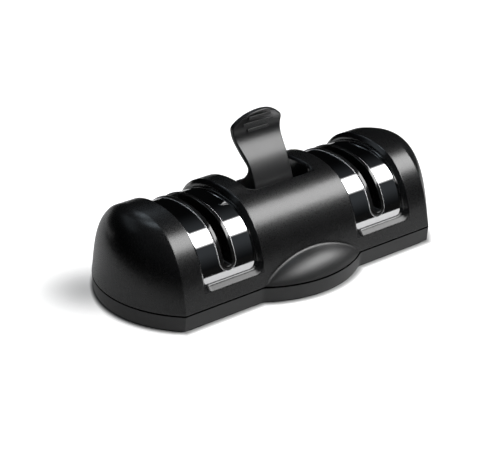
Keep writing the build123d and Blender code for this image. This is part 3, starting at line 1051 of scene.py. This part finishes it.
@dataclass
class SuctionDrive:
    """The lever, its pin and cam plate, the pull stem, the cup and its washer."""

    cup: RubberCup = field(default_factory=RubberCup)

    def dress(self, book: FinishBook) -> list[Piece]:
        """Build the cup and give the drive's nodes their finishes.

        Args:
            book: The finishes.

        Returns:
            The drive's pieces.
        """
        cup = self.cup.build()
        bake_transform(cup)
        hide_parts("suction_cup")
        book.dress(cup, "cup_rubber")
        slots = {
            "suction_lever": "lever_plastic",
            "lever_pin": "plain_steel",
            "cam_plate": "plain_steel",
            "pull_stem": "inner_plastic",
            "cup_washer": "plain_steel",
        }
        return [cup, *book.dress_nodes(slots)]


@dataclass(frozen=True)
class LightCard:
    """A glowing panel with four corners and soft edges, which the camera itself doesn't see."""

    name: str
    foot: tuple[Point, Point]
    top: tuple[Point, Point]
    strength: float
    fringe: float
    rise: float = 0.05
    tone: Colour = (1.0, 1.0, 1.0)
    steps: int = 8

    def build(self) -> None:
        """Build the card with its glow fading out at the edges."""
        foot = [Vector(point) for point in self.foot]
        top = [Vector(point) for point in self.top]
        mesh = bmesh.new()
        shares = [step / self.steps for step in range(self.steps + 1)]
        rows = []
        for share in shares:
            left, right = foot[0].lerp(top[0], share), foot[1].lerp(top[1], share)
            rows.append([mesh.verts.new(left.lerp(right, across)) for across in shares])
        layer = mesh.loops.layers.uv.new("card")
        for row in range(self.steps):
            for column in range(self.steps):
                places = ((row, column), (row, column + 1), (row + 1, column + 1), (row + 1, column))
                face = mesh.faces.new([rows[r][c] for r, c in places])
                for loop, (r, c) in zip(face.loops, places):
                    loop[layer].uv = (shares[c], shares[r])
        card = smooth_piece(self.name, mesh, PANEL_ANGLE)
        card.data.materials.append(self.glow())
        card.visible_camera = False
        card.visible_shadow = False

    def glow(self) -> Material:
        """Build the card's material: a fringe that grows to plain white, then the full glow.

        Returns:
            The material.
        """
        tree = ShaderTree(self.name)
        axes = tree.axes("UV")
        width = (Vector(self.foot[1]) - Vector(self.foot[0])).length
        height = (Vector(self.top[0]) - Vector(self.foot[0])).length
        near_side = tree.combine("MULTIPLY", tree.combine("PINGPONG", axes["X"], 0.5), width)
        near_end = tree.combine("MULTIPLY", tree.combine("PINGPONG", axes["Y"], 0.5), height)
        inward = tree.combine("MINIMUM", near_side, near_end)
        plain = min(1.0, self.strength)
        fringe = tree.ramp(inward, 0.0, self.fringe, 0.0, plain)
        middle = tree.ramp(inward, self.fringe, self.fringe + self.rise, 0.0, self.strength - plain)
        glow = tree.add("ShaderNodeEmission", Color=(*self.tone, 1))
        tree.join(tree.combine("ADD", fringe, middle), glow.inputs["Strength"])
        tree.join(glow.outputs["Emission"], tree.nodes["Material Output"].inputs["Surface"])
        return tree.material


@dataclass
class Studio:
    """A white board in a dark room, with a large softbox, smaller cards above and behind, and the camera."""

    eye: Point = (-537.2 * MM, -640.8 * MM, 423.5 * MM)
    right: Point = (0.7757, -0.6311, 0.0101)
    up: Point = (0.2673, 0.3430, 0.9005)
    lens: float = 122.75
    sensor: float = 36.0
    nearest: float = 0.01
    farthest: float = 50.0
    floor_half: float = 4.0
    floor_dark: float = 0.006
    board_low: Pair = (-0.178, -0.233)
    board_high: Pair = (0.300, 0.410)
    board_edge: float = 0.012
    board_white: float = 0.32
    board_roughness: float = 0.9
    board_glow: float = 0.29
    end_centre: float = 0.0471
    end_radius: float = 0.0556
    side_half: float = 0.0407
    bulge_radius: float = 0.0595
    bulge_centre: float = 0.0082
    # contact_* and shade_* shape the painted shadow in the floor's camera-only backdrop glow.
    contact_start: float = -0.0010
    contact_reach: float = 0.0045
    shade_centre: Pair = (-0.096, 0.028)
    shade_reach: float = 0.037
    shade_glow: float = 0.42
    room_tone: Colour = (0.84, 0.92, 1.0)
    room_height: Pair = (-0.08, 0.36)
    room_depth: Pair = (-0.3, 0.55)
    room_front: float = 0.040
    room_dark: float = 0.002
    ambient: float = 0.06
    cards: tuple[LightCard, ...] = (
        LightCard(
            name="key_softbox",
            foot=((-0.140, -0.815, 0.440), (1.250, -0.550, 0.618)),
            top=((0.060, -0.350, 0.755), (1.250, 0.200, 1.065)),
            strength=8.7, fringe=0.06, rise=0.04,
        ),
        LightCard(
            name="rear_card",
            foot=((-0.749, 0.244, 0.616), (0.060, 0.860, 0.500)),
            top=((-0.560, 0.080, 0.830), (-0.040, 0.420, 0.900)),
            strength=0.30, tone=COOL_WHITE, fringe=0.10,
        ),
        LightCard(
            name="top_card",
            foot=((-0.02, 0.46, 0.84), (0.41, 0.26, 0.87)),
            top=((-0.04, 0.10, 0.99), (0.14, 0.04, 0.99)),
            strength=2.9, tone=COOL_WHITE, fringe=0.08,
        ),
        LightCard(
            name="crease_card",
            foot=((0.27, 0.72, 0.57), (0.44, 0.62, 0.60)),
            top=((0.11, 0.48, 0.83), (0.38, 0.38, 0.84)),
            strength=3.4, tone=COOL_WHITE, fringe=0.06,
        ),
        LightCard(
            name="rear_wall",
            foot=((-0.45, 0.42, -0.025), (0.06, 0.42, -0.025)),
            top=((-0.45, 0.42, 0.065), (0.06, 0.42, 0.065)),
            strength=0.8, fringe=0.045,
        ),
    )

    def camera(self) -> None:
        """Place the camera where the photograph was taken from."""
        data = bpy.data.cameras.new("camera")
        data.lens = self.lens
        data.sensor_width = self.sensor
        data.clip_start = self.nearest
        data.clip_end = self.farthest
        camera = bpy.data.objects.new("camera", data)
        right = Vector(self.right).normalized()
        back = right.cross(Vector(self.up)).normalized()
        up = back.cross(right)
        turn = Matrix((right, up, back)).transposed().to_4x4()
        camera.matrix_world = Matrix.Translation(Vector(self.eye)) @ turn
        bpy.context.scene.collection.objects.link(camera)
        bpy.context.scene.camera = camera

    def paint_contact_shadow(self, tree: ShaderTree) -> Socket:
        """Paint a contact shadow: dim the backdrop glow near the foot of the casing, and put it out fully 1
        mm under its edge.

        Args:
            tree: The floor's material.

        Returns:
            How bright the backdrop is, from 0 to 1.
        """
        axes = tree.axes("Object")
        past = tree.combine("SUBTRACT", tree.unsigned(axes["X"]), self.end_centre)
        from_end = tree.length(tree.combine("MAXIMUM", past, 0.0), axes["Y"])
        beyond_end = tree.combine("SUBTRACT", from_end, self.end_radius)
        across = tree.unsigned(axes["Y"])
        barrel = tree.combine("MAXIMUM", tree.combine("SUBTRACT", across, self.side_half), beyond_end)
        from_bulge = tree.length(axes["X"], tree.combine("ADD", across, self.bulge_centre))
        bulge = tree.combine("SUBTRACT", from_bulge, self.bulge_radius)
        distance = tree.combine("MINIMUM", barrel, bulge)
        return tree.ramp(distance, self.contact_start, self.contact_reach, 0.0, 1.0)

    def shade(self, tree: ShaderTree) -> Socket:
        """Paint the softbox's shadow at the left end by dimming the backdrop glow there.

        Args:
            tree: The floor's material.

        Returns:
            How bright the backdrop is, from the shade's own level to 1.
        """
        axes = tree.axes("Object")
        places = zip(("X", "Y"), self.shade_centre)
        away = [tree.combine("SUBTRACT", axes[axis], middle) for axis, middle in places]
        return tree.ramp(tree.length(*away), 0.0, self.shade_reach, self.shade_glow, 1.0)

    def board(self, tree: ShaderTree) -> Socket:
        """Find where the white board lies on the dark floor.

        Args:
            tree: The floor's material.

        Returns:
            A value that is 1 on the board and 0 beyond it.
        """
        axes = tree.axes("Object")
        sides = []
        for axis, low, high in zip(("X", "Y"), self.board_low, self.board_high):
            sides.append(tree.ramp(axes[axis], low, low + self.board_edge, 0.0, 1.0))
            sides.append(tree.ramp(axes[axis], high - self.board_edge, high, 1.0, 0.0))
        return tree.combine("MULTIPLY", *sides)

    def floor(self) -> None:
        """Lay the white floor: its lit part keeps the object's real soft shadow, and its camera-only
        backdrop glow carries a painted shadow near the casing.
        """
        half = self.floor_half
        corners = ((-half, -half), (half, -half), (half, half), (-half, half))
        mesh = bmesh.new()
        mesh.faces.new([mesh.verts.new((x, y, 0)) for x, y in corners])
        floor = smooth_piece("floor", mesh, PANEL_ANGLE)
        tree = ShaderTree("floor_white")
        white = (self.board_white, self.board_white, self.board_white, 1)
        tree.wire(Base_Color=white, Roughness=self.board_roughness, Specular_IOR_Level=0.0)
        path = tree.nodes.new("ShaderNodeLightPath").outputs
        board = self.board(tree)
        # Painted shadow: the camera-only backdrop glow is dimmed near the casing's foot and at its left end.
        backdrop = tree.combine("MINIMUM", self.paint_contact_shadow(tree), self.shade(tree))
        seen = tree.combine("MULTIPLY", path["Is Camera Ray"], backdrop)
        mirrored = tree.combine("MULTIPLY", path["Is Glossy Ray"], self.board_glow)
        glow = tree.add("ShaderNodeEmission", Color=(1, 1, 1, 1))
        tree.join(tree.combine("ADD", seen, mirrored), glow.inputs["Strength"])
        lit = tree.nodes.new("ShaderNodeAddShader")
        tree.join(tree.shader.outputs["BSDF"], lit.inputs[0])
        tree.join(glow.outputs["Emission"], lit.inputs[1])
        dark = tree.add("ShaderNodeEmission", Color=(self.floor_dark, self.floor_dark, self.floor_dark, 1))
        choice = tree.nodes.new("ShaderNodeMixShader")
        off_board = tree.combine("SUBTRACT", 1.0, board)
        tree.join(tree.combine("MULTIPLY", path["Is Glossy Ray"], off_board), choice.inputs["Fac"])
        tree.join(lit.outputs["Shader"], choice.inputs[1])
        tree.join(dark.outputs["Emission"], choice.inputs[2])
        tree.join(choice.outputs["Shader"], tree.nodes["Material Output"].inputs["Surface"])
        floor.data.materials.append(tree.material)

    def world(self) -> None:
        """Make the room white to the camera and dim to all else, less dark in front and above."""
        world = bpy.data.worlds.new("studio")
        bpy.context.scene.world = world
        sheet = NodeSheet(world)
        axes = sheet.axes("Generated")
        path = sheet.nodes.new("ShaderNodeLightPath").outputs
        height = sheet.ramp(axes["Z"], *self.room_height, 0.0, 1.0)
        front = sheet.ramp(axes["Y"], *self.room_depth, self.room_front, 0.0)
        room = sheet.combine("ADD", sheet.combine("MULTIPLY", height, front), self.room_dark)
        mirrored = sheet.combine("MULTIPLY", path["Is Glossy Ray"], room)
        not_mirrored = sheet.combine("SUBTRACT", 1.0, path["Is Glossy Ray"])
        matt = sheet.combine("MULTIPLY", not_mirrored, self.ambient)
        dim = sheet.nodes["Background"]
        dim.inputs["Color"].default_value = (*self.room_tone, 1)
        sheet.join(sheet.combine("ADD", mirrored, matt), dim.inputs["Strength"])
        white = sheet.nodes.new("ShaderNodeBackground")
        mix = sheet.nodes.new("ShaderNodeMixShader")
        sheet.join(path["Is Camera Ray"], mix.inputs["Fac"])
        sheet.join(dim.outputs["Background"], mix.inputs[1])
        sheet.join(white.outputs["Background"], mix.inputs[2])
        sheet.join(mix.outputs["Shader"], sheet.nodes["World Output"].inputs["Surface"])

    def build(self) -> None:
        """Set up the camera, the floor, the surroundings and the cards."""
        self.camera()
        self.floor()
        self.world()
        for card in self.cards:
            card.build()
        bpy.context.scene.view_settings.view_transform = "Standard"


def main() -> None:
    """Build the studio and dress every sub-assembly in turn, logging each piece."""
    logging.basicConfig(level=logging.INFO, format="%(message)s")
    Studio().build()
    log.info("studio ready")
    book = FinishBook()
    stages = [StageDressing(stage) for stage in Stage]
    for assembly in (Casing(), *stages, SuctionDrive()):
        for piece in assembly.dress(book):
            log.info("%s dressed", piece.name)


if __name__ == "__main__":
    main()
